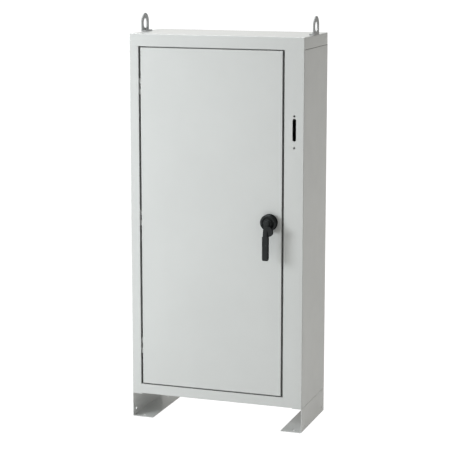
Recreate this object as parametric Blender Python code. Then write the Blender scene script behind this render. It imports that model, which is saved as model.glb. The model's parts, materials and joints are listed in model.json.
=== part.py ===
"""Free-standing flange-mount disconnect enclosure for a variable frequency drive.

Metres, +Z up, +X to the right of someone facing the door, +Y towards the back.
"""
import math

import bmesh
import bpy

# ---------------------------------------------------------------- overall size
BODY_W = 0.900          # outside width of the painted body
BODY_D = 0.405          # outside depth, front face to back face
BODY_H = 1.830          # height of the body without legs and lifting eyes
LEG_H = 0.125           # height of the floor stand under the body
GRIP_REACH = 0.080      # how far the handle stands in front of the door
FRONT_Y = -(BODY_D - GRIP_REACH) / 2
HALF_W = BODY_W / 2

# ---------------------------------------------------------------- sheet metal
SHEET = 0.002           # body and door sheet
GAP = 0.0003            # air between neighbouring pieces
BEND_R = 0.0035         # outside radius of the folds
BEND_STEPS = 5

# ------------------------------------------------- door opening, heights from the body's bottom
OPEN_L = -0.403
OPEN_R = 0.3515
OPEN_B = 0.050
OPEN_T = 1.769
SIDE_GAP = 0.011        # clearance at the hinge edge and the latch edge
END_GAP = 0.006         # clearance above and below the door
JAMB_DEPTH = 0.028
LIP_W = 0.020           # how far the sealing lip reaches into the opening
SEAM_Z = 1.771          # lower edge of the roof pan's side and back lips
SEAM_STRIP_LOW = 0.014
SEAM_STRIP_HIGH = 0.030
SEAM_STRIP_INSET = 0.012
FLOOR_FOLD = 0.010      # depth of the fold's flat part that joins the rail to the floor sheet

# ---------------------------------------------------------------- door
DOOR_L = OPEN_L + SIDE_GAP
DOOR_R = OPEN_R - SIDE_GAP
DOOR_B = OPEN_B + END_GAP
DOOR_T = OPEN_T - END_GAP
DOOR_RETURN = 0.0194    # depth of the door's folded edge
DOOR_FLANGE = 0.020
DOOR_EDGE_R = 0.0012
GASKET_INSET = 0.002
GASKET_W = 0.012
GASKET_T = 0.006

# ---------------------------------------------------------------- hinges
PIVOT_X = DOOR_L + 0.0020
PIVOT_D = 0.0057        # depth of the pivot, behind the door skin
HINGE_Z = (0.250, 0.910, 1.570)
HINGE_NAMES = ("lower", "middle", "upper")
HINGE_H = 0.080
KNUCKLE_R = 0.0034
KNUCKLE_BORE = 0.0023
PIN_R = 0.0020
PIN_HEAD_R = 0.0030
PIN_HEAD_T = 0.0015
PIN_OVERHANG = 0.002    # how far the pin stands out of the knuckles at each end
HINGE_NOTCH = 0.003
HINGE_NOTCH_BACK = 0.0135
LEAF_T = 0.0020
FRAME_LEAF_FRONT = 0.0085
FRAME_LEAF_BACK = 0.0247
ARM_D = 0.0106          # depth of the arm that reaches from the frame leaf round the door's edge
ARM_ROOT = 0.0028       # where the arm's stem starts inside the knuckle's wall
DOOR_LEAF_W = 0.030

# ---------------------------------------------------------------- handle and latch
SPINDLE_X = 0.280
SPINDLE_Z = 0.929
SPINDLE_SIDE = 0.010
SPINDLE_BACK = 0.045
SPINDLE_FRONT = 0.052
BASE_R = 0.0415
BASE_T = 0.034
BASE_RECESS = 0.003
BASE_BORE = 0.009
SPINDLE_HOLE_CLEAR = 0.001
BASE_SCREW_PITCH = 0.029
BASE_SCREW_R = 0.0025
BASE_SCREW_LEN = 0.0115
BASE_SCREW_HEAD_R = 0.0048
BASE_SCREW_HEAD_T = 0.0017
BASE_HOLE_DEPTH = 0.012
BASE_RIM_IN = 0.0345    # where the escutcheon's raised rim starts to fall
BASE_FLOOR_R = 0.0330
BASE_BEVEL = 0.0045
NECK_R = 0.018
NECK_FOOT_R = 0.023
NECK_FOOT_D = 0.037
NECK_D = 0.040
NECK_END_D = 0.048
LEVER_SQUARENESS = 0.62
# (depth in front of the door, height above the spindle, width, thickness) of the lever bar,
# from its round end on the hub down the swan neck to the grip's tip
LEVER_STATIONS = (
    (0.0460, 0.0215, 0.014, 0.012),
    (0.0460, 0.0195, 0.026, 0.018),
    (0.0460, 0.0150, 0.034, 0.020),
    (0.0470, 0.0080, 0.038, 0.022),
    (0.0480, 0.0, 0.039, 0.024),
    (0.0515, -0.0120, 0.037, 0.026),
    (0.0580, -0.0260, 0.034, 0.028),
    (0.0640, -0.0400, 0.032, 0.029),
    (0.0668, -0.0540, 0.0305, 0.0264),
    (0.0670, -0.0680, 0.030, 0.024),
    (0.0670, -0.1200, 0.030, 0.024),
    (0.0670, -0.1680, 0.030, 0.024),
    (0.0670, -0.1740, 0.0285, 0.0225),
    (0.0670, -0.1775, 0.0235, 0.0175),
    (0.0670, -0.1790, 0.013, 0.009),
)
# (offset to the right of the spindle, height above it) round the lug's outline
LUG_OUTLINE = (
    (0.0, -0.014),
    (0.0200, -0.0150),
    (0.0290, -0.0220),
    (0.0345, -0.0310),
    (0.0360, -0.0400),
    (0.0345, -0.0490),
    (0.0300, -0.0560),
    (0.0230, -0.0605),
    (0.0140, -0.0620),
    (0.0, -0.0620),
)
LUG_FRONT = 0.070
LUG_BACK = 0.058
SPINDLE_THREAD_R = 0.0028
SPINDLE_THREAD_LEN = 0.020
CAM_SCREW_R = 0.0025
CAM_SCREW_LEN = 0.018
CAM_WASHER_R = 0.0085
CAM_WASHER_T = 0.0016
CAM_SCREW_HEAD_R = 0.0050
CAM_SCREW_HEAD_T = 0.0050
CAM_D = 0.031
CAM_T = 0.004
CAM_R = 0.030
CAM_PIN_RADIUS = 0.020
CAM_PIN_R = 0.003
CAM_PIN_PROUD = 0.0015  # how far the cam pins stand out behind the rods
TONGUE_LEN = 0.045
TONGUE_W = 0.022
TONGUE_CORNER = 0.006
ROD_D = 0.036
ROD_T = 0.004
ROD_IN = 0.010
ROD_OUT = 0.026
ROD_END_IN = 0.0076
ROD_END_OUT = 0.028
ROD_SLOT_H = 0.008
ROD_SLOT_IN = 0.0106
ROD_SLOT_OUT = 0.0236
ROD_HEAD_HALF = 0.0085
ROD_ROOT = 0.008        # how far the rod runs past the cam pin
ROD_TIP = 0.005         # how far the rod runs past the roller's axle
ROLLER_R = 0.009
ROLLER_W = 0.009
ROLLER_CHAMFER = 0.001
ROLLER_SHIFT = 0.001    # air between the rod's edge and the roller
AXLE_R = 0.003
AXLE_ROOT_R = 0.0019
AXLE_COLLAR_R = 0.005
AXLE_ROOT = 0.004
AXLE_END_T = 0.0015
LIP_CLEARANCE = 0.002
GUIDE_T = 0.003
GUIDE_BACK = 0.046
GUIDE_CLEAR = 0.0004
GUIDE_SIDE = 0.006
GUIDE_FOOT_H = 0.020
GUIDE_LEVELS = {"upper_rod_guide_near": (1, SPINDLE_Z + 0.200), "upper_rod_guide_far": (1, OPEN_T - 0.120),
                "lower_rod_guide_near": (-1, SPINDLE_Z - 0.200), "lower_rod_guide_far": (-1, OPEN_B + 0.105)}

# ---------------------------------------------------------------- slotted flange beside the door
SLOT_X = 0.4013
FLANGE_SEAM_X = 0.4380    # where the slotted flange butts against the side sheet's front fold
SLOT_Z = 1.3853
SLOT_LEN = 0.110
SLOT_W = 0.018
SCREW_HOLE_R = 0.0052
SCREW_HOLE_TOP = 1.4520
SCREW_HOLE_BOTTOM = 1.2975

# ---------------------------------------------------------------- lifting eyes
EYE_T = 0.006
EYE_W = 0.090
EYE_H = 0.091
EYE_HOLE_R = 0.025
EYE_HOLE_Z = 0.0405
EYE_BASE_W = 0.024
EYE_BOLT_INSET = 0.0150
EYE_BOLT_R = 0.004
EYE_BOLT_HEAD_AF = 0.013
EYE_BOLT_HEAD_T = 0.0053
EYE_BOLT_LEN = 0.022    # how far the bolt runs down through the roof

# ---------------------------------------------------------------- floor stand
LEG_T = 0.003
FOOT_W = 0.110
LEG_TOP_FLANGE = 0.050
LEG_BEND_R = 0.005
ANCHOR_R = 0.007
ANCHOR_X = 0.400
ANCHOR_INSET = 0.034
LEG_HOLE_R = 0.0065
LEG_HOLE_INSET = 0.039
LEG_HOLE_Z = 0.031

# ---------------------------------------------------------------- inside the cabinet
PANEL_HALF_W = 0.385
PANEL_Z0 = 0.085
PANEL_Z1 = 1.745
PANEL_D = 0.372
PANEL_T = 0.003
STUD_X = 0.365
STUD_Z = (0.110, 1.720)
STUD_R = 0.004
STUD_FRONT = 0.350
COLLAR_R = 0.010
NUT_AF = 0.013
NUT_T = 0.0077
POCKET_X0 = -0.210
POCKET_X1 = 0.090
POCKET_Z0 = 0.620
POCKET_Z1 = 0.880
POCKET_DEPTH = 0.026
POCKET_SHEET = 0.0015
STIFF_X = (-0.300, 0.160)
STIFF_W = 0.036
STIFF_D = 0.018
STIFF_T = 0.0015
STIFF_Z0 = 0.110
STIFF_Z1 = 1.709
EARTH_Z = 0.140
EARTH_D = 0.200
EARTH_R = 0.004
EARTH_COLLAR_R = 0.009
EARTH_COLLAR_T = 0.003
EARTH_LEN = 0.030
EARTH_NUT_GAP = 0.0042
EARTH_NUT_T = 0.0065
STUD_CHAMFER = 0.001

ROUND = 48              # segments of a full turn on large round pieces
SMALL_ROUND = 32        # segments on pins, studs and bores


def y(depth):
    """Row-frame Y of a depth measured back from the front face."""
    return FRONT_Y + depth


def z(height):
    """Row-frame Z of a height measured up from the body's bottom."""
    return LEG_H + height


def clear_scene():
    for obj in list(bpy.data.objects):
        bpy.data.objects.remove(obj, do_unlink=True)


def make_material(name, colour, roughness, metallic):
    mat = bpy.data.materials.new(name)
    mat.use_nodes = True
    shader = mat.node_tree.nodes["Principled BSDF"]
    shader.inputs["Base Color"].default_value = (*colour, 1.0)
    shader.inputs["Roughness"].default_value = roughness
    shader.inputs["Metallic"].default_value = metallic
    mat.diffuse_color = (*colour, 1.0)
    return mat


def paint(obj):
    return finish(obj, (0.620, 0.635, 0.640), 0.38, 0.0)


def zinc(obj):
    return finish(obj, (0.520, 0.530, 0.540), 0.36, 1.0)


def galvanised(obj):
    return finish(obj, (0.560, 0.575, 0.590), 0.45, 1.0)


def black_plastic(obj):
    return finish(obj, (0.022, 0.024, 0.025), 0.42, 0.0)


def rubber(obj):
    return finish(obj, (0.018, 0.018, 0.018), 0.75, 0.0)


def nylon(obj):
    return finish(obj, (0.720, 0.700, 0.640), 0.50, 0.0)


def finish(obj, colour, roughness, metallic):
    obj.data.materials.clear()
    obj.data.materials.append(make_material(obj.name + "_mat", colour, roughness, metallic))
    return obj


def object_from_bmesh(name, bm):
    bmesh.ops.recalc_face_normals(bm, faces=bm.faces)
    mesh = bpy.data.meshes.new(name)
    bm.to_mesh(mesh)
    bm.free()
    obj = bpy.data.objects.new(name, mesh)
    bpy.context.scene.collection.objects.link(obj)
    return obj


def box(name, low, high):
    bm = bmesh.new()
    bmesh.ops.create_cube(bm, size=1.0)
    for vert in bm.verts:
        for axis in range(3):
            middle = (low[axis] + high[axis]) / 2
            vert.co[axis] = middle + vert.co[axis] * (high[axis] - low[axis])
    return object_from_bmesh(name, bm)


def rounded_box(name, low, high, radius, is_rounded):
    """Box whose edges picked by is_rounded(edge middle, edge direction) are folded to a radius."""
    obj = box(name, low, high)
    bm = bmesh.new()
    bm.from_mesh(obj.data)
    picked = []
    for edge in bm.edges:
        first, second = edge.verts[0].co, edge.verts[1].co
        if is_rounded((first + second) / 2, (second - first).normalized()):
            picked.append(edge)
    bmesh.ops.bevel(bm, geom=picked, offset=radius, segments=BEND_STEPS, profile=0.5, affect="EDGES")
    bm.to_mesh(obj.data)
    bm.free()
    return obj


def prism(name, points, axis, low, high):
    """Closed prism: a flat outline in the two other axes (in X, Y, Z order) run along one axis."""
    bm = bmesh.new()
    others = [k for k in range(3) if k != axis]
    rings = []
    for along in (low, high):
        ring = []
        for first, second in points:
            place = [0.0, 0.0, 0.0]
            place[axis] = along
            place[others[0]] = first
            place[others[1]] = second
            ring.append(bm.verts.new(place))
        rings.append(ring)
    bm.faces.new(rings[0])
    bm.faces.new(rings[1])
    count = len(points)
    for i in range(count):
        j = (i + 1) % count
        bm.faces.new((rings[0][i], rings[0][j], rings[1][j], rings[1][i]))
    return object_from_bmesh(name, bm)


def arc(centre, radius, start, end, steps):
    """Points of an arc, angles in degrees, both ends included."""
    points = []
    for i in range(steps + 1):
        angle = math.radians(start + (end - start) * i / steps)
        points.append((centre[0] + radius * math.cos(angle), centre[1] + radius * math.sin(angle)))
    return points


def lathe(name, profile, centre, axis, segments, closed=False):
    """Solid of revolution from (radius, place along axis) pairs; closed gives a ring with a bore."""
    bm = bmesh.new()
    others = [k for k in range(3) if k != axis]
    rings = []
    for radius, along in profile:
        ring = []
        count = segments if radius > 0 else 1
        for i in range(count):
            angle = 2 * math.pi * i / segments
            place = [0.0, 0.0, 0.0]
            place[axis] = along
            place[others[0]] = centre[0] + radius * math.cos(angle)
            place[others[1]] = centre[1] + radius * math.sin(angle)
            ring.append(bm.verts.new(place))
        rings.append(ring)
    pairs = list(zip(rings, rings[1:]))
    if closed:
        pairs.append((rings[-1], rings[0]))
    for lower, upper in pairs:
        for i in range(segments):
            j = (i + 1) % segments
            if len(lower) == 1:
                bm.faces.new((lower[0], upper[j], upper[i]))
            elif len(upper) == 1:
                bm.faces.new((lower[i], lower[j], upper[0]))
            else:
                bm.faces.new((lower[i], lower[j], upper[j], upper[i]))
    return object_from_bmesh(name, bm)


def rod(name, radius, centre, axis, low, high, segments=SMALL_ROUND):
    return lathe(name, [(0, low), (radius, low), (radius, high), (0, high)], centre, axis, segments)


def combine(obj, other, operation):
    """Boolean of two objects; the second one is used up."""
    modifier = obj.modifiers.new("step", "BOOLEAN")
    modifier.operation = operation
    modifier.solver = "EXACT"
    modifier.object = other
    graph = bpy.context.evaluated_depsgraph_get()
    mesh = bpy.data.meshes.new_from_object(obj.evaluated_get(graph))
    obj.modifiers.clear()
    old = obj.data
    obj.data = mesh
    mesh.name = obj.name
    bpy.data.meshes.remove(old)
    bpy.data.objects.remove(other, do_unlink=True)
    return obj


def cut(obj, cutter):
    return combine(obj, cutter, "DIFFERENCE")


def join(obj, other):
    return combine(obj, other, "UNION")


def drill(obj, radius, centre, axis, low, high):
    return cut(obj, rod("drill", radius, centre, axis, low, high))


def smooth(obj, angle=35.0):
    obj.data.shade_smooth()
    obj.data.set_sharp_from_angle(angle=math.radians(angle))
    return obj


def set_origin(obj, place):
    """Move the object's origin without moving its surface."""
    for vert in obj.data.vertices:
        vert.co -= type(vert.co)(place)
    obj.location = place
    return obj


def spindle_origin():
    return (SPINDLE_X, y(0), z(SPINDLE_Z))


def hinge_origin():
    return (PIVOT_X, y(PIVOT_D), z(0))


# ---------------------------------------------------------------- painted body
def roof_pan():
    low = (-HALF_W, y(0), z(OPEN_T))
    high = (HALF_W, y(BODY_D), z(BODY_H))

    def folded(middle, along):
        top_edge = abs(along.z) < 0.5 and middle.z > z(BODY_H) - SHEET
        return top_edge or abs(along.z) > 0.5

    pan = rounded_box("roof_pan", low, high, BEND_R, folded)
    pan = cut(pan, box("hollow", (-HALF_W + SHEET, y(SHEET), z(OPEN_T) - SHEET),
                       (HALF_W - SHEET, y(BODY_D - SHEET), z(BODY_H) - SHEET)))
    pan = cut(pan, box("lip_trim", (-BODY_W, y(BEND_R), z(OPEN_T) - SHEET),
                       (BODY_W, y(BODY_D) + SHEET, z(SEAM_Z))))
    for side in (-1, 1):
        centre = (side * (HALF_W - EYE_BOLT_INSET), y(BODY_D / 2))
        pan = drill(pan, EYE_BOLT_R + GAP, centre, 2, z(BODY_H) - BEND_R, z(BODY_H) + SHEET)
    return paint(smooth(pan))


def side_wrap(name, side, flange_edge):
    """One side of the body with the front flange folded from the same sheet."""
    outside = side * HALF_W
    inside = side * (HALF_W - SHEET)
    bend_x = side * (HALF_W - BEND_R)
    outer = arc((bend_x, y(BEND_R)), BEND_R, -90, 0 if side > 0 else -180, BEND_STEPS)
    inner = arc((bend_x, y(BEND_R)), BEND_R - SHEET, 0 if side > 0 else -180, -90, BEND_STEPS)
    back = y(BODY_D - SHEET - GAP)
    outline = [(flange_edge, y(0))] + outer + [(outside, back), (inside, back)] + inner
    outline.append((flange_edge, y(SHEET)))
    wrap = prism(name, outline, 2, z(0), z(OPEN_T) - GAP)
    strip_out = side * (HALF_W - SHEET - GAP)
    strip_in = side * (HALF_W - 2 * SHEET - GAP)
    root = side * (HALF_W - SHEET / 2)
    step_z = z(OPEN_T) - 2 * GAP
    strip = prism("strip", [(root, z(OPEN_T) - SEAM_STRIP_LOW), (root, step_z), (strip_out, step_z),
                            (strip_out, z(OPEN_T) + SEAM_STRIP_HIGH), (strip_in, z(OPEN_T) + SEAM_STRIP_HIGH),
                            (strip_in, z(OPEN_T) - SEAM_STRIP_LOW)], 1, y(SEAM_STRIP_INSET),
                             y(BODY_D - SEAM_STRIP_INSET))
    return join(wrap, strip)


def left_side_wrap():
    return paint(smooth(side_wrap("left_side_wrap", -1, OPEN_L)))


def right_side_wrap():
    return paint(smooth(side_wrap("right_side_wrap", 1, FLANGE_SEAM_X)))


def disconnect_flange():
    """Front plate beside the door, with the slot and screw holes for a disconnect's handle."""
    plate = box("disconnect_flange", (OPEN_R, y(0), z(0)), (FLANGE_SEAM_X - GAP, y(SHEET), z(OPEN_T) - GAP))
    half = SLOT_LEN / 2 - SLOT_W / 2
    outline = arc((SLOT_X, z(SLOT_Z) + half), SLOT_W / 2, 0, 180, 12)
    outline += arc((SLOT_X, z(SLOT_Z) - half), SLOT_W / 2, 180, 360, 12)
    plate = cut(plate, prism("slot", outline, 1, y(0) - SHEET, y(2 * SHEET)))
    for height in (SCREW_HOLE_TOP, SCREW_HOLE_BOTTOM):
        plate = drill(plate, SCREW_HOLE_R, (SLOT_X, z(height)), 1, y(0) - SHEET, y(2 * SHEET))
    return paint(smooth(plate))


def back_panel():
    panel = box("back_panel", (-HALF_W, y(BODY_D - SHEET), z(0)), (HALF_W, y(BODY_D), z(OPEN_T) - GAP))
    return paint(panel)


def floor_pan():
    """Bottom sheet with the lower front rail folded up from it."""
    edge = HALF_W - SHEET - GAP
    rail_l = OPEN_L + GAP
    rail_r = OPEN_R - GAP
    front = y(SHEET + GAP)
    back = y(BODY_D - SHEET - GAP)
    outline = [(BEND_R - edge, front), (-edge, front + BEND_R), (-edge, back), (edge, back),
               (edge, front + BEND_R), (edge - BEND_R, front)]
    sheet = prism("floor_pan", outline, 2, z(0), z(SHEET))
    fold_outer = arc((y(BEND_R), z(BEND_R)), BEND_R, 270, 180, BEND_STEPS)
    fold_inner = arc((y(BEND_R), z(BEND_R)), BEND_R - SHEET, 180, 270, BEND_STEPS)
    section = [(y(FLOOR_FOLD), z(0))] + fold_outer + [(y(0), z(OPEN_B)), (y(SHEET), z(OPEN_B))] + fold_inner
    section.append((y(FLOOR_FOLD), z(SHEET)))
    rail = prism("rail", section, 0, rail_l, rail_r)
    return paint(smooth(join(sheet, rail)))


def upright_jamb(name, edge, outward):
    """Return wall and sealing lip on one vertical edge of the opening."""
    wall = box(name, (min(edge, edge + outward * SHEET), y(SHEET + GAP), z(OPEN_B) - SHEET),
               (max(edge, edge + outward * SHEET), y(JAMB_DEPTH), z(OPEN_T) + SHEET))
    lip_edge = edge - outward * LIP_W
    far_edge = edge + outward * SHEET / 2
    lip = box("lip", (min(lip_edge, far_edge), y(JAMB_DEPTH - SHEET), z(OPEN_B) + GAP),
              (max(lip_edge, far_edge), y(JAMB_DEPTH), z(OPEN_T) - GAP))
    return paint(join(wall, lip))


def level_jamb(name, edge, outward):
    """Return wall and sealing lip above or below the opening."""
    far = edge + outward * SHEET
    wall = box(name, (OPEN_L + GAP, y(SHEET + GAP), z(min(edge, far))),
               (OPEN_R - GAP, y(JAMB_DEPTH), z(max(edge, far))))
    lip_edge = edge - outward * LIP_W
    root = edge + outward * SHEET / 2
    lip = box("lip", (OPEN_L + LIP_W + GAP, y(JAMB_DEPTH - SHEET), z(min(lip_edge, root))),
              (OPEN_R - LIP_W - GAP, y(JAMB_DEPTH), z(max(lip_edge, root))))
    return paint(join(wall, lip))


# ---------------------------------------------------------------- floor stand and lifting eyes
def leg(name, side):
    """C-shaped leg: foot flange on the floor, upright in line with the side, flange under the body."""
    outer = HALF_W
    top = LEG_H - GAP
    r_out = LEG_BEND_R
    r_in = LEG_BEND_R - LEG_T
    section = [(outer - FOOT_W, 0.0)]
    section += arc((outer - r_out, r_out), r_out, -90, 0, BEND_STEPS)
    section += arc((outer - r_out, top - r_out), r_out, 0, 90, BEND_STEPS)
    section += [(outer - LEG_TOP_FLANGE, top), (outer - LEG_TOP_FLANGE, top - LEG_T)]
    section += arc((outer - r_out, top - r_out), r_in, 90, 0, BEND_STEPS)
    section += arc((outer - r_out, r_out), r_in, 0, -90, BEND_STEPS)
    section += [(outer - FOOT_W, LEG_T)]
    section = [(side * across, up) for across, up in section]
    piece = prism(name, section, 1, y(0), y(BODY_D))
    for depth in (ANCHOR_INSET, BODY_D - ANCHOR_INSET):
        piece = drill(piece, ANCHOR_R, (side * ANCHOR_X, y(depth)), 2, -LEG_T, 2 * LEG_T)
    for depth in (LEG_HOLE_INSET, BODY_D - LEG_HOLE_INSET):
        low = min(side * (HALF_W - 2 * LEG_T), side * (HALF_W + LEG_T))
        high = max(side * (HALF_W - 2 * LEG_T), side * (HALF_W + LEG_T))
        piece = drill(piece, LEG_HOLE_R, (y(depth), LEG_HOLE_Z), 0, low, high)
    return paint(smooth(piece))


def lifting_eye(name, side):
    """Round-topped plate with a hole, folded at the bottom to a base that lies on the roof."""
    outer = side * HALF_W
    inner = side * (HALF_W - EYE_T)
    base = z(BODY_H) + GAP
    middle = y(BODY_D / 2)
    half = EYE_W / 2
    outline = [(middle - half, base), (middle + half, base)]
    outline += arc((middle, z(BODY_H) + EYE_H - half), half, 0, 180, 24)
    plate = prism(name, outline, 0, min(outer, inner), max(outer, inner))
    tip = side * (HALF_W - EYE_BASE_W)
    foot = prism("foot", [(side * (HALF_W - EYE_T / 2), base), (tip, base), (tip, base + EYE_T),
                          (side * (HALF_W - EYE_T / 2), base + EYE_T)], 1, middle - half, middle + half)
    plate = join(plate, foot)
    plate = drill(plate, EYE_HOLE_R, (middle, z(BODY_H) + EYE_HOLE_Z), 0, -BODY_W if side < 0 else 0.0,
                  0.0 if side < 0 else BODY_W)
    plate = drill(plate, EYE_BOLT_R + GAP, (side * (HALF_W - EYE_BOLT_INSET), middle), 2,
                  base - EYE_T, base + 2 * EYE_T)
    return zinc(smooth(plate))


def hex_outline(centre, across_flats):
    radius = across_flats / 2 / math.cos(math.radians(30))
    return arc(centre, radius, 0, 300, 5)


def eye_bolt(name, side):
    centre = (side * (HALF_W - EYE_BOLT_INSET), y(BODY_D / 2))
    seat = z(BODY_H) + EYE_T + 2 * GAP
    bolt = prism(name, hex_outline(centre, EYE_BOLT_HEAD_AF), 2, seat, seat + EYE_BOLT_HEAD_T)
    shank = rod("shank", EYE_BOLT_R, centre, 2, z(BODY_H) - EYE_BOLT_LEN, seat + EYE_BOLT_HEAD_T / 2)
    return zinc(smooth(join(bolt, shank)))


# ---------------------------------------------------------------- fixed parts inside
def sub_panel():
    panel = box("sub_panel", (-PANEL_HALF_W, y(PANEL_D), z(PANEL_Z0)),
                (PANEL_HALF_W, y(PANEL_D + PANEL_T), z(PANEL_Z1)))
    for side in (-1, 1):
        for height in STUD_Z:
            panel = drill(panel, STUD_R + 2 * GAP, (side * STUD_X, z(height)), 1,
                          y(PANEL_D - PANEL_T), y(PANEL_D + 2 * PANEL_T))
    return galvanised(panel)


def panel_stud(name, x, height):
    collar_front = y(PANEL_D + PANEL_T + GAP)
    back = y(BODY_D - SHEET - GAP)
    tip = y(STUD_FRONT)
    profile = [(0, tip), (STUD_R - STUD_CHAMFER, tip), (STUD_R, tip + STUD_CHAMFER),
               (STUD_R, collar_front), (COLLAR_R, collar_front), (COLLAR_R, back), (0, back)]
    return zinc(smooth(lathe(name, profile, (x, z(height)), 1, SMALL_ROUND)))


def hex_nut(name, centre, axis, low, high, bore, across_flats):
    nut = prism(name, hex_outline(centre, across_flats), axis, low, high)
    return zinc(smooth(drill(nut, bore, centre, axis, low - bore, high + bore)))


def panel_nut(name, x, height):
    back = y(PANEL_D - GAP)
    return hex_nut(name, (x, z(height)), 1, back - NUT_T, back, STUD_R + GAP, NUT_AF)


def earth_stud():
    """Earthing stud welded inside the left-hand side near the bottom."""
    wall = -HALF_W + SHEET + GAP
    collar = wall + EARTH_COLLAR_T
    tip = wall + EARTH_LEN
    profile = [(0, wall), (EARTH_COLLAR_R, wall), (EARTH_COLLAR_R, collar), (EARTH_R, collar),
               (EARTH_R, tip - STUD_CHAMFER), (EARTH_R - STUD_CHAMFER, tip), (0, tip)]
    return zinc(smooth(lathe("earth_stud", profile, (y(EARTH_D), z(EARTH_Z)), 0, SMALL_ROUND)))


def earth_nut():
    low = -HALF_W + SHEET + EARTH_NUT_GAP
    return hex_nut("earth_nut", (y(EARTH_D), z(EARTH_Z)), 0, low, low + EARTH_NUT_T, EARTH_R + GAP, NUT_AF)


# ---------------------------------------------------------------- hinges
def knuckle(height, radius, low, high):
    return rod("knuckle", radius, (PIVOT_X, y(PIVOT_D)), 2, z(height + low), z(height + high))


def bore_knuckles(leaf, height):
    return drill(leaf, KNUCKLE_BORE, (PIVOT_X, y(PIVOT_D)), 2, z(height - HINGE_H), z(height + HINGE_H))


def hinge_frame_leaf(name, height):
    """Plate on the opening's return wall whose arms reach behind the door's edge to the outer knuckles."""
    half = HINGE_H / 2
    third = HINGE_H / 6
    wall = OPEN_L + GAP
    leaf = box(name, (wall, y(FRAME_LEAF_FRONT), z(height - half)),
               (wall + LEAF_T, y(FRAME_LEAF_BACK), z(height + half)))
    for low, high in ((-half, -third), (third, half)):
        leaf = join(leaf, box("arm", (wall + LEAF_T / 2, y(ARM_D), z(height + low)),
                              (PIVOT_X + LEAF_T / 2, y(ARM_D + LEAF_T), z(height + high))))
        leaf = join(leaf, box("stem", (PIVOT_X - LEAF_T / 2, y(PIVOT_D + ARM_ROOT), z(height + low)),
                              (PIVOT_X + LEAF_T / 2, y(ARM_D + LEAF_T / 2), z(height + high))))
        leaf = join(leaf, knuckle(height, KNUCKLE_R, low, high))
    return paint(smooth(bore_knuckles(leaf, height)))


def hinge_door_leaf(name, height):
    """Plate behind the door skin with the middle knuckle."""
    third = HINGE_H / 6 - GAP
    front = y(SHEET + GAP)
    leaf = box(name, (PIVOT_X, front, z(height - third)),
               (PIVOT_X + DOOR_LEAF_W, front + LEAF_T, z(height + third)))
    leaf = join(leaf, knuckle(height, KNUCKLE_R - GAP / 2, -third, third))
    return set_origin(paint(smooth(bore_knuckles(leaf, height))), hinge_origin())


def hinge_pin(name, height):
    low = z(height - HINGE_H / 2 - PIN_OVERHANG)
    high = z(height + HINGE_H / 2 + PIN_OVERHANG)
    neck = high - PIN_HEAD_T
    profile = [(0, low), (PIN_R, low), (PIN_R, neck), (PIN_HEAD_R, neck), (PIN_HEAD_R, high), (0, high)]
    return zinc(smooth(lathe(name, profile, (PIVOT_X, y(PIVOT_D)), 2, SMALL_ROUND)))


# ---------------------------------------------------------------- door
def door_skin():
    """Front sheet of the door with softened edges."""
    low = (DOOR_L, y(0), z(DOOR_B))
    high = (DOOR_R, y(SHEET), z(DOOR_T))

    def softened(middle, along):
        return abs(along.y) < 0.5 and middle.y < y(SHEET / 2)

    skin = rounded_box("door_skin", low, high, DOOR_EDGE_R, softened)
    skin = drill(skin, BASE_BORE + SPINDLE_HOLE_CLEAR, (SPINDLE_X, z(SPINDLE_Z)), 1, y(-SHEET), y(2 * SHEET))
    for sign in (-1, 1):
        skin = drill(skin, BASE_SCREW_R + GAP, (SPINDLE_X, z(SPINDLE_Z + sign * BASE_SCREW_PITCH)), 1,
                     y(-SHEET), y(2 * SHEET))
    return set_origin(paint(smooth(skin)), hinge_origin())


def upright_door_edge(name, edge, inward):
    """Folded strip behind one upright edge of the door skin; the gasket sits on its flange."""
    front = y(SHEET + GAP)
    back = y(DOOR_RETURN)
    wall_in = edge + inward * SHEET
    tip = edge + inward * DOOR_FLANGE
    section = [(edge, front), (edge, back), (tip, back), (tip, back - SHEET), (wall_in, back - SHEET),
               (wall_in, front)]
    strip = prism(name, section, 2, z(DOOR_B), z(DOOR_T))
    if inward > 0:
        notch_half = HINGE_H / 2 + HINGE_NOTCH
        for height in HINGE_Z:
            strip = cut(strip, box("notch", (edge - SHEET, front - SHEET, z(height - notch_half)),
                                   (edge + 2 * SHEET, y(HINGE_NOTCH_BACK), z(height + notch_half))))
    return set_origin(paint(strip), hinge_origin())


def level_door_edge(name, edge, inward):
    """Folded strip behind the top or bottom edge of the door skin, between the upright ones."""
    front = y(SHEET + GAP)
    back = y(DOOR_RETURN)
    wall_in = edge + inward * SHEET
    tip = edge + inward * DOOR_FLANGE
    section = [(front, z(edge)), (back, z(edge)), (back, z(tip)), (back - SHEET, z(tip)),
               (back - SHEET, z(wall_in)), (front, z(wall_in))]
    strip = prism(name, section, 0, DOOR_L + DOOR_FLANGE + GAP, DOOR_R - DOOR_FLANGE - GAP)
    return set_origin(paint(strip), hinge_origin())


def door_gasket():
    front = y(DOOR_RETURN + GAP)
    back = front + GASKET_T
    ring = box("door_gasket", (DOOR_L + GASKET_INSET, front, z(DOOR_B + GASKET_INSET)),
               (DOOR_R - GASKET_INSET, back, z(DOOR_T - GASKET_INSET)))
    inset = GASKET_INSET + GASKET_W
    ring = cut(ring, box("window", (DOOR_L + inset, front - SHEET, z(DOOR_B + inset)),
                         (DOOR_R - inset, back + SHEET, z(DOOR_T - inset))))
    return set_origin(rubber(ring), hinge_origin())


def door_stiffener(name, x):
    """Channel whose open side faces the door skin."""
    front = y(SHEET + GAP)
    back = front + STIFF_D
    half = STIFF_W / 2
    section = [(x - half, front), (x - half, back), (x + half, back), (x + half, front),
               (x + half - STIFF_T, front), (x + half - STIFF_T, back - STIFF_T),
               (x - half + STIFF_T, back - STIFF_T), (x - half + STIFF_T, front)]
    return set_origin(paint(prism(name, section, 2, z(STIFF_Z0), z(STIFF_Z1))), hinge_origin())


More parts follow.
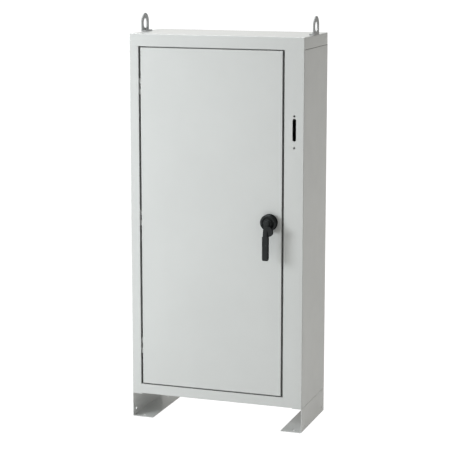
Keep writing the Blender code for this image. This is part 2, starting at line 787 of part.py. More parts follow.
def print_pocket():
    """Document tray behind the door, open at the top."""
    front = y(SHEET + GAP)
    back = front + POCKET_DEPTH
    tray = box("print_pocket", (POCKET_X0, front, z(POCKET_Z0)), (POCKET_X1, back, z(POCKET_Z1)))
    tray = cut(tray, box("hollow", (POCKET_X0 + POCKET_SHEET, front - SHEET, z(POCKET_Z0 + POCKET_SHEET)),
                         (POCKET_X1 - POCKET_SHEET, back - POCKET_SHEET, z(POCKET_Z1) + SHEET)))
    return set_origin(paint(tray), hinge_origin())


def rod_guide(name, side, height):
    """Bracket behind the door skin with a window that the latch rod slides through."""
    middle = SPINDLE_X + side * (ROD_IN + ROD_OUT) / 2
    half = (ROD_OUT - ROD_IN) / 2
    left = middle - half - GUIDE_SIDE
    right = middle + half + GUIDE_SIDE
    front = y(SHEET + GAP)
    plate = box(name, (left, front, z(height)), (right, y(GUIDE_BACK), z(height) + GUIDE_T))
    plate = join(plate, box("foot", (left, front, z(height) + GUIDE_T / 2),
                            (right, front + SHEET, z(height) + GUIDE_FOOT_H)))
    reach = half + GUIDE_CLEAR
    plate = cut(plate, box("window", (middle - reach, y(ROD_D - GUIDE_CLEAR), z(height) - GUIDE_T),
                           (middle + reach, y(ROD_D + ROD_T + GUIDE_CLEAR), z(height) + 2 * GUIDE_T)))
    return set_origin(zinc(plate), hinge_origin())


def handle_base():
    """Round escutcheon in front of the door skin."""
    back = y(-GAP)
    face = y(-BASE_T)
    floor = y(-BASE_T + BASE_RECESS)
    nick = BASE_BEVEL * (1 - math.sqrt(0.5))
    profile = [(BASE_BORE, back), (BASE_R, back), (BASE_R, face + BASE_BEVEL), (BASE_R - nick, face + nick),
               (BASE_R - BASE_BEVEL, face), (BASE_RIM_IN, face), (BASE_FLOOR_R, floor), (BASE_BORE, floor)]
    base = lathe("handle_base", profile, (SPINDLE_X, z(SPINDLE_Z)), 1, ROUND, closed=True)
    for sign in (-1, 1):
        base = drill(base, BASE_SCREW_R + GAP, (SPINDLE_X, z(SPINDLE_Z + sign * BASE_SCREW_PITCH)), 1,
                     y(-BASE_HOLE_DEPTH), y(SHEET))
    return set_origin(black_plastic(smooth(base)), hinge_origin())


def handle_screw(name, sign):
    """Screw from inside the door into the escutcheon."""
    tip = y(-BASE_SCREW_LEN)
    seat = y(SHEET + GAP)
    head = seat + BASE_SCREW_HEAD_T
    profile = [(0, tip), (BASE_SCREW_R, tip), (BASE_SCREW_R, seat), (BASE_SCREW_HEAD_R, seat),
               (BASE_SCREW_HEAD_R, head - STUD_CHAMFER), (BASE_SCREW_HEAD_R - STUD_CHAMFER, head), (0, head)]
    centre = (SPINDLE_X, z(SPINDLE_Z + sign * BASE_SCREW_PITCH))
    return set_origin(zinc(smooth(lathe(name, profile, centre, 1, SMALL_ROUND))), hinge_origin())


# ---------------------------------------------------------------- turning handle
def lever_ring(bm, depth, height, width, thickness):
    """Rounded cross-section of the lever, level with the ground."""
    ring = []
    for i in range(SMALL_ROUND):
        angle = 2 * math.pi * i / SMALL_ROUND
        across = math.copysign(abs(math.cos(angle)) ** LEVER_SQUARENESS, math.cos(angle))
        deep = math.copysign(abs(math.sin(angle)) ** LEVER_SQUARENESS, math.sin(angle))
        ring.append(bm.verts.new((SPINDLE_X + across * width / 2, y(-depth) + deep * thickness / 2,
                                  z(SPINDLE_Z + height))))
    return ring


def lever_bar():
    """Bar of the pistol grip, from its round end over the spindle down to the grip's tip."""
    bm = bmesh.new()
    rings = [lever_ring(bm, *station) for station in LEVER_STATIONS]
    bm.faces.new(rings[0])
    bm.faces.new(rings[-1])
    for upper, lower in zip(rings, rings[1:]):
        for i in range(SMALL_ROUND):
            j = (i + 1) % SMALL_ROUND
            bm.faces.new((upper[i], upper[j], lower[j], lower[i]))
    return object_from_bmesh("handle_lever", bm)


def lever_lug():
    """Rounded lug on the swan neck's right-hand edge."""
    outline = [(SPINDLE_X + across, z(SPINDLE_Z + up)) for across, up in LUG_OUTLINE]
    return prism("lug", outline, 1, y(-LUG_FRONT), y(-LUG_BACK))


def handle_lever():
    lever = join(lever_bar(), lever_lug())
    foot = y(-BASE_T + BASE_RECESS - GAP)
    neck_profile = [(0, foot), (NECK_FOOT_R, foot), (NECK_FOOT_R, y(-NECK_FOOT_D)), (NECK_R, y(-NECK_D)),
                    (NECK_R, y(-NECK_END_D)), (0, y(-NECK_END_D))]
    lever = join(lever, lathe("neck", neck_profile, (SPINDLE_X, z(SPINDLE_Z)), 1, ROUND))
    half = SPINDLE_SIDE / 2 + GAP
    lever = cut(lever, box("socket", (SPINDLE_X - half, y(-SPINDLE_FRONT - GAP), z(SPINDLE_Z) - half),
                           (SPINDLE_X + half, y(0), z(SPINDLE_Z) + half)))
    return set_origin(black_plastic(smooth(lever, 40.0)), spindle_origin())


def spindle():
    half = SPINDLE_SIDE / 2
    shaft = box("spindle", (SPINDLE_X - half, y(-SPINDLE_FRONT), z(SPINDLE_Z) - half),
                (SPINDLE_X + half, y(SPINDLE_BACK), z(SPINDLE_Z) + half))
    shaft = drill(shaft, SPINDLE_THREAD_R, (SPINDLE_X, z(SPINDLE_Z)), 1, y(SPINDLE_BACK - SPINDLE_THREAD_LEN),
                  y(SPINDLE_BACK) + half)
    return set_origin(zinc(shaft), spindle_origin())


def cam_screw():
    """Screw in the spindle's end that keeps the cam on."""
    seat = y(SPINDLE_BACK + GAP)
    tip = y(SPINDLE_BACK - CAM_SCREW_LEN)
    washer = seat + CAM_WASHER_T
    head = seat + CAM_SCREW_HEAD_T
    profile = [(0, tip), (CAM_SCREW_R, tip), (CAM_SCREW_R, seat), (CAM_WASHER_R, seat),
               (CAM_WASHER_R, washer), (CAM_SCREW_HEAD_R, washer), (CAM_SCREW_HEAD_R, head), (0, head)]
    return set_origin(zinc(smooth(lathe("cam_screw", profile, (SPINDLE_X, z(SPINDLE_Z)), 1, SMALL_ROUND))),
                      spindle_origin())


def latch_cam():
    """Disc with the middle tongue and the two drive pins for the rods."""
    plate = rod("latch_cam", CAM_R, (SPINDLE_X, z(SPINDLE_Z)), 1, y(CAM_D), y(CAM_D + CAM_T), ROUND)
    half = TONGUE_W / 2
    inner = SPINDLE_X + TONGUE_LEN - TONGUE_CORNER
    outline = [(SPINDLE_X, z(SPINDLE_Z) - half)]
    outline += arc((inner, z(SPINDLE_Z) - half + TONGUE_CORNER), TONGUE_CORNER, 270, 360, BEND_STEPS)
    outline += arc((inner, z(SPINDLE_Z) + half - TONGUE_CORNER), TONGUE_CORNER, 0, 90, BEND_STEPS)
    outline.append((SPINDLE_X, z(SPINDLE_Z) + half))
    plate = join(plate, prism("tongue", outline, 1, y(CAM_D), y(CAM_D + CAM_T)))
    offset = CAM_PIN_RADIUS * math.sqrt(0.5)
    for sign in (-1, 1):
        centre = (SPINDLE_X + sign * offset, z(SPINDLE_Z) + sign * offset)
        plate = join(plate, rod("pin", CAM_PIN_R, centre, 1, y(CAM_D + CAM_T / 2),
                                y(ROD_D + ROD_T + CAM_PIN_PROUD)))
    hole = SPINDLE_SIDE / 2 + GAP
    plate = cut(plate, box("square", (SPINDLE_X - hole, y(CAM_D - CAM_T), z(SPINDLE_Z) - hole),
                           (SPINDLE_X + hole, y(CAM_D + 2 * CAM_T), z(SPINDLE_Z) + hole)))
    return set_origin(zinc(smooth(plate)), spindle_origin())


# ---------------------------------------------------------------- latch rods and rollers
def rod_tip_height(side):
    """Height of the roller axle, just short of the sealing lip."""
    reach = LIP_CLEARANCE + ROLLER_R
    if side > 0:
        return OPEN_T - LIP_W - reach
    return OPEN_B + LIP_W + reach


def latch_rod(name, side):
    """Flat rod from the cam pin to the roller axle; side is +1 for the upper rod, -1 for the lower."""
    offset = CAM_PIN_RADIUS * math.sqrt(0.5)
    slot_z = SPINDLE_Z + side * offset
    ends = sorted((slot_z - side * ROD_ROOT, rod_tip_height(side) + side * ROD_TIP))
    bar = rod_strip(name, side, (ROD_IN, ROD_OUT), z(ends[0]), z(ends[1]), 0)
    bar = join(bar, rod_strip("head", side, (ROD_END_IN, ROD_END_OUT), z(slot_z) - ROD_HEAD_HALF,
                              z(slot_z) + ROD_HEAD_HALF, 0))
    bar = cut(bar, rod_strip("slot", side, (ROD_SLOT_IN, ROD_SLOT_OUT), z(slot_z) - ROD_SLOT_H / 2,
                             z(slot_z) + ROD_SLOT_H / 2, ROD_T))
    bar = join(bar, roller_axle(side))
    return set_origin(zinc(smooth(bar)), (SPINDLE_X, y(ROD_D), z(SPINDLE_Z)))


def rod_strip(name, side, across, low, high, extra):
    """Box in the rod's own plane between two offsets from the spindle, extra deeper on both faces."""
    edges = sorted(SPINDLE_X + side * offset for offset in across)
    return box(name, (edges[0], y(ROD_D - extra), low), (edges[1], y(ROD_D + ROD_T + extra), high))


def roller_axle(side):
    outer = SPINDLE_X + side * ROD_OUT
    root = outer - side * AXLE_ROOT
    step = outer - side * AXLE_END_T / 3
    shoulder = outer + side * (ROLLER_SHIFT - GAP)
    keep = outer + side * (ROLLER_SHIFT + ROLLER_W + GAP)
    end = keep + side * AXLE_END_T
    profile = [(0, root), (AXLE_ROOT_R, root), (AXLE_ROOT_R, step), (AXLE_COLLAR_R, step),
               (AXLE_COLLAR_R, shoulder), (AXLE_R, shoulder), (AXLE_R, keep), (AXLE_COLLAR_R, keep),
               (AXLE_COLLAR_R, end), (0, end)]
    return lathe("axle", profile, (y(ROD_D + ROD_T / 2), z(rod_tip_height(side))), 0, SMALL_ROUND)


def rod_roller(name, side):
    start = SPINDLE_X + side * (ROD_OUT + ROLLER_SHIFT)
    end = start + side * ROLLER_W
    bevel = side * ROLLER_CHAMFER
    centre = (y(ROD_D + ROD_T / 2), z(rod_tip_height(side)))
    profile = [(AXLE_R + GAP, start), (ROLLER_R - ROLLER_CHAMFER, start), (ROLLER_R, start + bevel),
               (ROLLER_R, end - bevel), (ROLLER_R - ROLLER_CHAMFER, end), (AXLE_R + GAP, end)]
    roller = lathe(name, profile, centre, 0, SMALL_ROUND, closed=True)
    return set_origin(nylon(smooth(roller)), ((start + end) / 2, *centre))


def build_body():
    roof_pan()
    left_side_wrap()
    right_side_wrap()
    disconnect_flange()
    back_panel()
    floor_pan()
    upright_jamb("hinge_jamb", OPEN_L, -1)
    upright_jamb("latch_jamb", OPEN_R, 1)
    level_jamb("top_jamb", OPEN_T, 1)
    level_jamb("bottom_jamb", OPEN_B, -1)
    for word, side in (("left", -1), ("right", 1)):
        leg("leg_" + word, side)
        lifting_eye("lifting_eye_" + word, side)
        eye_bolt("lifting_eye_bolt_" + word, side)
    sub_panel()
    for word, side in (("left", -1), ("right", 1)):
        for level, height in zip(("lower", "upper"), STUD_Z):
            panel_stud("panel_stud_" + level + "_" + word, side * STUD_X, height)
            panel_nut("panel_nut_" + level + "_" + word, side * STUD_X, height)
    earth_stud()
    earth_nut()
    for level, height in zip(HINGE_NAMES, HINGE_Z):
        hinge_frame_leaf("hinge_frame_leaf_" + level, height)
        hinge_pin("hinge_pin_" + level, height)


def build_door():
    door_skin()
    upright_door_edge("door_edge_hinge_side", DOOR_L, 1)
    upright_door_edge("door_edge_latch_side", DOOR_R, -1)
    level_door_edge("door_edge_top", DOOR_T, -1)
    level_door_edge("door_edge_bottom", DOOR_B, 1)
    door_gasket()
    for word, x in zip(("hinge_side", "latch_side"), STIFF_X):
        door_stiffener("door_stiffener_" + word, x)
    print_pocket()
    for level, height in zip(HINGE_NAMES, HINGE_Z):
        hinge_door_leaf("hinge_door_leaf_" + level, height)
    for name, (side, height) in GUIDE_LEVELS.items():
        rod_guide(name, side, height)
    handle_base()
    handle_screw("handle_screw_lower", -1)
    handle_screw("handle_screw_upper", 1)


def build_latch():
    handle_lever()
    spindle()
    latch_cam()
    cam_screw()
    latch_rod("upper_latch_rod", 1)
    latch_rod("lower_latch_rod", -1)
    rod_roller("upper_rod_roller", 1)
    rod_roller("lower_rod_roller", -1)


clear_scene()
build_body()
build_door()
build_latch()
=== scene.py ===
import json
import math

import bmesh
import bpy
from mathutils import Euler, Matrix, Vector

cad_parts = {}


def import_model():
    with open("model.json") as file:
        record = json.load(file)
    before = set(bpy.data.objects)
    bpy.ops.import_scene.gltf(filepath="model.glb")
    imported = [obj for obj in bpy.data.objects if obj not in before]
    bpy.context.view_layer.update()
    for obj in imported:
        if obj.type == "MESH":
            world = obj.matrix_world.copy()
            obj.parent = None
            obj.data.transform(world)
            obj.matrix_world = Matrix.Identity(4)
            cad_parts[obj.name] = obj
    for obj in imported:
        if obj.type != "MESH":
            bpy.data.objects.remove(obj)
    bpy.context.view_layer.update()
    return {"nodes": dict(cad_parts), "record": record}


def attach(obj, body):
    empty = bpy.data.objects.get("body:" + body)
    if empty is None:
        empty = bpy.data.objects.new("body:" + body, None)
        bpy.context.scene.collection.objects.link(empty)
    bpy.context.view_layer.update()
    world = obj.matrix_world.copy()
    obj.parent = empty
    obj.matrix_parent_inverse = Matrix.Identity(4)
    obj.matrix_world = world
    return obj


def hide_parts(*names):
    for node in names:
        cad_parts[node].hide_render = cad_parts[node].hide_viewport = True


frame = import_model()

# ---------------------------------------------------------------- places on the body
FRONT = -0.1625        # Y of the door's face
BODY_LOW = 0.125       # height of the body's underside
BODY_HALF = 0.450      # half of the body's width
BODY_DEPTH = 0.405

# ---------------------------------------------------------------- camera
CAMERA_PLACE = (2.5998, -7.5046, 2.4674)
CAMERA_TURN = 19.156   # degrees to the left of straight ahead
CAMERA_TILT = 10.182   # degrees below level
CAMERA_LENS = 128.44
SENSOR_WIDTH = 36.0
CAMERA_SHIFT_Y = -0.02
CLIP_START = 0.05
CLIP_END = 200.0

# ---------------------------------------------------------------- stage and light
WHITE = 1.1            # strength that the camera shows as pure white
FLOOR_SIZE = 30.0
FLOOR_DROP = 0.0005    # air between the feet and the floor
FLOOR_COLOUR = (0.82, 0.82, 0.80)
FLOOR_ROUGHNESS = 0.9
FLOOR_SHINE = 0.80     # brightness of the floor in mirror reflections
WORLD_COLOUR = (1.0, 0.985, 0.945)
WORLD_STRENGTH = 0.34
SKY_SHINE_LEFT = 1.0   # brightness of the sky in mirror reflections, on its left and right
SKY_SHINE_RIGHT = 0.22
SKY_SHINE_REACH = 0.9  # sideways direction at which each of the two is reached
# name, place, target, size, power, colour, shown in mirror reflections
LIGHTS = (
    ("key", (-3.4, -3.2, 2.3), (0.0, 0.0, 1.1), (1.9, 1.9), 153.0, (0.95, 0.985, 1.0), False),
    ("glint", (-3.4, -3.2, 1.45), (0.0, 0.0, 1.1), (0.6, 0.6), 18.0, (0.95, 0.985, 1.0), True),
    ("top", (-0.9, 0.2, 5.2), (0.0, 0.0, 1.9), (3.0, 3.0), 118.0, (0.97, 0.99, 1.0), True),
    ("low", (0.6, 2.6, 0.55), (-0.2, 0.0, 0.1), (1.5, 0.8), 10.0, (1.0, 0.99, 0.97), False),
)


# ---------------------------------------------------------------- object and mesh helpers
SMOOTH_ANGLE = 35.0
WELD_DISTANCE = 0.00002


def add_object(name, data):
    obj = bpy.data.objects.new(name, data)
    bpy.context.scene.collection.objects.link(obj)
    return obj


def add_mesh(name, bm, look, body, nodes=(), smooth_angle=SMOOTH_ANGLE):
    """A finished piece: its mesh, its material, the body it rides on and the CAD nodes it stands for."""
    bmesh.ops.recalc_face_normals(bm, faces=bm.faces)
    mesh = bpy.data.meshes.new(name)
    bm.to_mesh(mesh)
    bm.free()
    obj = add_object(name, mesh)
    mesh.shade_smooth()
    mesh.set_sharp_from_angle(angle=math.radians(smooth_angle))
    mesh.materials.append(LOOKS[look])
    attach(obj, body)
    if nodes:
        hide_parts(*nodes)
    return obj


def add_bevel(obj, width, segments, angle):
    weld = obj.modifiers.new("weld", "WELD")
    weld.merge_threshold = WELD_DISTANCE
    bevel = obj.modifiers.new("edges", "BEVEL")
    bevel.width = width
    bevel.segments = segments
    bevel.limit_method = "ANGLE"
    bevel.angle_limit = math.radians(angle)
    bevel.harden_normals = True


def in_space(axis, along, first, second):
    """The point at a place along one axis and at two places in the other axes."""
    place = [first, second]
    place.insert(axis, along)
    return place


def ring_of(bm, points):
    return [bm.verts.new(p) for p in points]


def bridge(bm, first, second):
    count = len(first)
    for i in range(count):
        j = (i + 1) % count
        bm.faces.new((first[i], first[j], second[j], second[i]))


def lathe(bm, profile, centre, axis, segments):
    """Adds a solid of revolution; profile is (radius, place along the axis), closed on itself."""
    turns = [2 * math.pi * i / segments for i in range(segments)]
    rings = []
    for radius, along in profile:
        rings.append(ring_of(bm, [in_space(axis, along, centre[0] + radius * math.cos(turn),
                                           centre[1] + radius * math.sin(turn)) for turn in turns]))
    for lower, upper in zip(rings, rings[1:] + rings[:1]):
        bridge(bm, lower, upper)


def plate(bm, outline, axis, low, high):
    """Adds a prism of an outline given in the two other axes."""
    rings = [ring_of(bm, [in_space(axis, along, *point) for point in outline]) for along in (low, high)]
    bm.faces.new(rings[0])
    bm.faces.new(rings[1])
    bridge(bm, rings[0], rings[1])


def block(bm, low, high):
    outline = [(low[0], low[1]), (high[0], low[1]), (high[0], high[1]), (low[0], high[1])]
    plate(bm, outline, 2, low[2], high[2])


# ---------------------------------------------------------------- node helpers
BEVEL_SAMPLES = 6
# how alike the face's own and the rounded direction are: fully on an edge, and off it
EDGE_ALIKE, FLAT_ALIKE = 0.55, 0.97
NOISE_MIDDLE = (0.3, 0.7)   # the part of a noise's range that most of it lies in


class Shader:
    """Small wrapper that keeps node trees short to write."""

    def __init__(self, name):
        self.material = bpy.data.materials.new(name)
        self.material.use_nodes = True
        self.tree = self.material.node_tree
        self.bsdf = self.tree.nodes["Principled BSDF"]
        self.coords = self.tree.nodes.new("ShaderNodeTexCoord").outputs["Object"]

    def node(self, kind, **values):
        made = self.tree.nodes.new(kind)
        for key, value in values.items():
            setattr(made, key, value)
        return made

    def link(self, source, target):
        self.tree.links.new(source, target)

    def noise(self, scale, detail, roughness):
        made = self.node("ShaderNodeTexNoise")
        made.inputs["Scale"].default_value = scale
        made.inputs["Detail"].default_value = detail
        made.inputs["Roughness"].default_value = roughness
        self.link(self.coords, made.inputs["Vector"])
        return made.outputs["Fac"]

    def ramp(self, source, low, high, to_low=0.0, to_high=1.0):
        made = self.node("ShaderNodeMapRange")
        made.inputs["From Min"].default_value = low
        made.inputs["From Max"].default_value = high
        made.inputs["To Min"].default_value = to_low
        made.inputs["To Max"].default_value = to_high
        self.link(source, made.inputs["Value"])
        return made.outputs["Result"]

    def mix(self, factor, first, second):
        made = self.node("ShaderNodeMix", data_type="RGBA")
        self.link(factor, made.inputs["Factor"])
        for name, value in (("A", first), ("B", second)):
            socket = [s for s in made.inputs if s.name == name and s.type == "RGBA"][0]
            if isinstance(value, tuple):
                socket.default_value = (*value, 1.0)
            else:
                self.link(value, socket)
        return [s for s in made.outputs if s.type == "RGBA"][0]

    def bump(self, source, strength, distance, under=None):
        made = self.node("ShaderNodeBump")
        made.inputs["Strength"].default_value = strength
        made.inputs["Distance"].default_value = distance
        self.link(source, made.inputs["Height"])
        if under is not None:
            self.link(under, made.inputs["Normal"])
        return made.outputs["Normal"]

    def edges(self, radius):
        """The direction of a face with rounded edges, and a mask: 1 along the edges, 0 on the flats."""
        soft = self.node("ShaderNodeBevel", samples=BEVEL_SAMPLES)
        soft.inputs["Radius"].default_value = radius
        shape = self.node("ShaderNodeNewGeometry")
        dot = self.node("ShaderNodeVectorMath", operation="DOT_PRODUCT")
        self.link(soft.outputs["Normal"], dot.inputs[0])
        self.link(shape.outputs["Normal"], dot.inputs[1])
        return soft.outputs["Normal"], self.ramp(dot.outputs["Value"], FLAT_ALIKE, EDGE_ALIKE)

    def set(self, **values):
        for key, value in values.items():
            socket = self.bsdf.inputs[key.replace("_", " ")]
            if isinstance(value, (int, float)):
                socket.default_value = value
            elif isinstance(value, tuple):
                socket.default_value = (*value, 1.0)
            else:
                self.link(value, socket)
        return self.material


def tint(colour, factor, most=1.0):
    return tuple(min(most, c * factor) for c in colour)


# ---------------------------------------------------------------- materials
def paint_material(name, colour):
    """Light grey powder coat: orange peel, faint cloudiness, paler in patches along its edges, partly as
    worn paint and partly as a painted edge highlight.
    """
    s = Shader(name)
    cloud = s.noise(scale=2.3, detail=4.0, roughness=0.55)
    patch = s.noise(scale=14.0, detail=3.0, roughness=0.6)
    speck = s.noise(scale=900.0, detail=2.0, roughness=0.6)
    wear = s.noise(scale=160.0, detail=4.0, roughness=0.7)
    peel = s.noise(scale=520.0, detail=2.0, roughness=0.5)
    coarse = s.noise(scale=70.0, detail=2.0, roughness=0.5)
    base = s.mix(s.ramp(cloud, *NOISE_MIDDLE), tint(colour, 0.972), tint(colour, 1.015))
    base = s.mix(s.ramp(patch, 0.45, 0.75, to_high=0.25), base, tint(colour, 0.965))
    base = s.mix(s.ramp(speck, 0.60, 0.80, to_high=0.20), base, tint(colour, 0.80))
    rounded, edge = s.edges(radius=0.0012)
    # paler edges: worn paint, and also a painted highlight along the edges
    worn_and_highlit_edge = s.node("ShaderNodeMath", operation="MULTIPLY")
    s.link(edge, worn_and_highlit_edge.inputs[0])
    s.link(s.ramp(wear, 0.40, 0.62, 0.15, 0.75), worn_and_highlit_edge.inputs[1])
    base = s.mix(worn_and_highlit_edge.outputs[0], base, tint(colour, 1.16, most=0.85))
    normal = s.bump(coarse, strength=0.06, distance=0.0010, under=rounded)
    normal = s.bump(peel, strength=0.14, distance=0.0002, under=normal)
    s.set(Base_Color=base, Roughness=s.ramp(patch, 0.25, 0.75, 0.33, 0.43), Normal=normal)
    return s.set(Coat_Weight=0.35, Coat_Roughness=0.10, Specular_IOR_Level=0.5)


def metal_material(name, colour, roughness):
    """Zinc plate: satin, faintly clouded, paler along its edges, as rubbed metal and as a painted edge
    highlight.
    """
    s = Shader(name)
    cloud = s.noise(scale=30.0, detail=3.0, roughness=0.6)
    grain = s.noise(scale=900.0, detail=2.0, roughness=0.5)
    rounded, edge = s.edges(radius=0.0008)
    base = s.mix(s.ramp(cloud, *NOISE_MIDDLE), tint(colour, 0.88), colour)
    # paler edges: rubbed zinc, and also a painted highlight along the edges
    base = s.mix(edge, base, tint(colour, 1.25, most=0.9))
    return s.set(Base_Color=base, Metallic=0.45,
                 Normal=s.bump(grain, strength=0.10, distance=0.00005, under=rounded),
                 Roughness=s.ramp(cloud, *NOISE_MIDDLE, roughness - 0.04, roughness + 0.06))


def galvanised_material(name, colour):
    """Zinc spangle: flat crystals of different brightness and roughness, with uneven borders."""
    s = Shader(name)
    crystal = s.node("ShaderNodeTexVoronoi", feature="F1")
    crystal.inputs["Scale"].default_value = 75.0
    shift = s.node("ShaderNodeTexNoise")
    shift.inputs["Scale"].default_value = 60.0
    wobble = s.node("ShaderNodeVectorMath", operation="MULTIPLY_ADD")
    wobble.inputs[1].default_value = (0.012, 0.012, 0.012)
    tone = s.node("ShaderNodeSeparateColor")
    s.link(s.coords, shift.inputs["Vector"])
    s.link(shift.outputs["Color"], wobble.inputs[0])
    s.link(s.coords, wobble.inputs[2])
    s.link(wobble.outputs[0], crystal.inputs["Vector"])
    s.link(crystal.outputs["Color"], tone.inputs[0])
    base = s.mix(tone.outputs["Red"], tint(colour, 0.90), tint(colour, 1.05))
    fine = s.noise(scale=700.0, detail=2.0, roughness=0.6)
    return s.set(Base_Color=base, Metallic=1.0, Normal=s.bump(fine, strength=0.08, distance=0.0001),
                 Roughness=s.ramp(tone.outputs["Green"], 0.0, 1.0, 0.34, 0.52))


def plastic_material(name, colour, roughness, specular):
    """Matt rubber or plastic with a fine grain."""
    s = Shader(name)
    cloud = s.noise(scale=25.0, detail=3.0, roughness=0.6)
    grain = s.noise(scale=1500.0, detail=2.0, roughness=0.6)
    base = s.mix(s.ramp(cloud, *NOISE_MIDDLE), tint(colour, 0.88), tint(colour, 1.15))
    return s.set(Base_Color=base, Normal=s.bump(grain, strength=0.25, distance=0.0001),
                 Roughness=s.ramp(cloud, *NOISE_MIDDLE, roughness - 0.04, roughness + 0.06),
                 Specular_IOR_Level=specular)


def sheen_plastic(name, colour, roughness):
    """Black filled plastic: an even satin sheen that hardly grows toward grazing views, and a painted
    highlight that makes its edges paler.
    """
    s = Shader(name)
    cloud = s.noise(scale=25.0, detail=3.0, roughness=0.6)
    grain = s.noise(scale=1500.0, detail=2.0, roughness=0.6)
    rounded, edge = s.edges(radius=0.0010)
    base = s.mix(s.ramp(cloud, *NOISE_MIDDLE), tint(colour, 0.88), tint(colour, 1.12))
    # paler edges: a painted highlight along the edges
    base = s.mix(s.ramp(edge, 0.0, 1.0, to_high=0.5), base, tint(colour, 1.8))
    s.set(Base_Color=base, Metallic=0.5, Specular_Tint=(0.05, 0.05, 0.05), Specular_IOR_Level=0.0)
    return s.set(Roughness=s.ramp(cloud, *NOISE_MIDDLE, roughness - 0.03, roughness + 0.04),
                 Normal=s.bump(grain, strength=0.12, distance=0.0001, under=rounded))


LOOKS = {
    "painted_steel": paint_material("paint", (0.620, 0.632, 0.628)),
    "zinc_plated_steel": metal_material("zinc", (0.44, 0.45, 0.455), 0.54),
    "galvanised_sheet": galvanised_material("galvanised", (0.58, 0.60, 0.61)),
    "black_plastic": sheen_plastic("black_plastic", (0.039, 0.0418, 0.0430), 0.25),
    "gasket_rubber": plastic_material("gasket_rubber", (0.016, 0.016, 0.016), 0.8, 0.2),
    "nylon": plastic_material("nylon", (0.70, 0.68, 0.62), 0.45, 0.5),
}
# paint darkened as painted shade for the walls of the gap round the door, so that the gap looks as dark as
# in the photograph
GAP_SHADE_PAINT = paint_material("paint_gap_shade", (0.38, 0.388, 0.385))
GAP_SHADE_NODES = (
    "door_edge_hinge_side", "door_edge_latch_side", "door_edge_top", "door_edge_bottom",
    "hinge_jamb", "latch_jamb", "top_jamb", "bottom_jamb",
)


# ---------------------------------------------------------------- looks of the CAD nodes
# start of the node's name and width of its rounded edges; the first start that fits counts
SOFTENED = (
    ("lifting_eye_bolt", 0.0006), ("lifting_eye", 0.0014), ("leg_", 0.0006), ("panel_nut", 0.0006),
    ("earth_nut", 0.0005), ("print_pocket", 0.0004), ("sub_panel", 0.0006), ("door_stiffener", 0.0004),
    ("latch_cam", 0.0005), ("upper_latch_rod", 0.0005), ("lower_latch_rod", 0.0005),
)
SOFT_SEGMENTS = 2
SOFT_ANGLE = 38.0


def dress_cad_nodes():
    slots = {entry["node"]: entry["material_slot"] for entry in frame["record"]["subparts"]}
    for name, obj in frame["nodes"].items():
        # the walls of the gap round the door take the darker paint, which is painted shade
        look = GAP_SHADE_PAINT if name in GAP_SHADE_NODES else LOOKS[slots[name]]
        for slot in obj.material_slots:
            slot.material = look
        if not obj.material_slots:
            obj.data.materials.append(look)


def soften_cad_edges():
    for name, obj in frame["nodes"].items():
        for start, width in SOFTENED:
            if name.startswith(start):
                add_bevel(obj, width, SOFT_SEGMENTS, SOFT_ANGLE)
                break


# ---------------------------------------------------------------- handle
SPINDLE = (0.280, FRONT, 1.054)
ROUND = 72
# (radius, distance in front of the door) of the escutcheon's section
ESCUTCHEON = (
    (0.0090, 0.0003), (0.0405, 0.0003), (0.0415, 0.0010), (0.0415, 0.0248), (0.0413, 0.0257),
    (0.0407, 0.0265), (0.0344, 0.0330), (0.0335, 0.0336), (0.0324, 0.0338), (0.0302, 0.0338),
    (0.0294, 0.0335), (0.0289, 0.0328), (0.0284, 0.0316), (0.0278, 0.0311), (0.0262, 0.0310),
    (0.0256, 0.0306), (0.0250, 0.0300), (0.0090, 0.0300),
)
# the same of the lever's hub
HUB = (
    (0.0030, 0.0304), (0.0206, 0.0304), (0.0210, 0.0308), (0.0210, 0.0352), (0.0205, 0.0364),
    (0.0195, 0.0372), (0.0175, 0.0378), (0.0160, 0.0392), (0.0152, 0.0410), (0.0150, 0.0450),
    (0.0030, 0.0460),
)
# (distance in front of the door, height from the spindle, width, thickness, squareness) down the lever
LEVER = (
    (0.0440, 0.0145, 0.010, 0.008, 0.70), (0.0444, 0.0136, 0.019, 0.013, 0.66),
    (0.0450, 0.0105, 0.0265, 0.0165, 0.62), (0.0462, 0.0045, 0.0300, 0.0190, 0.60),
    (0.0482, -0.0035, 0.0305, 0.0205, 0.60), (0.0518, -0.0140, 0.0295, 0.0214, 0.60),
    (0.0566, -0.0250, 0.0280, 0.0220, 0.60), (0.0614, -0.0360, 0.0270, 0.0222, 0.58),
    (0.0652, -0.0470, 0.0264, 0.0220, 0.54), (0.0667, -0.0560, 0.0262, 0.0216, 0.46),
    (0.0669, -0.0606, 0.0262, 0.0214, 0.38), (0.0669, -0.0612, 0.0284, 0.0226, 0.34),
    (0.0670, -0.0620, 0.0298, 0.0238, 0.32), (0.0670, -0.0640, 0.0304, 0.0242, 0.30),
    (0.0670, -0.1000, 0.0304, 0.0242, 0.30), (0.0670, -0.1400, 0.0304, 0.0242, 0.30),
    (0.0670, -0.1690, 0.0304, 0.0242, 0.30), (0.0670, -0.1738, 0.0294, 0.0232, 0.34),
    (0.0670, -0.1766, 0.0272, 0.0212, 0.40), (0.0670, -0.1783, 0.0225, 0.0168, 0.50),
    (0.0670, -0.1790, 0.0130, 0.0090, 0.70),
)
LEVER_STEPS = 3        # sections from one row of LEVER to the next
LEVER_SIDES = 48
LEVER_SMOOTH = 50.0
LEVEL_SECTIONS = 6     # sections at the top of the lever that stay parallel to the door's normal
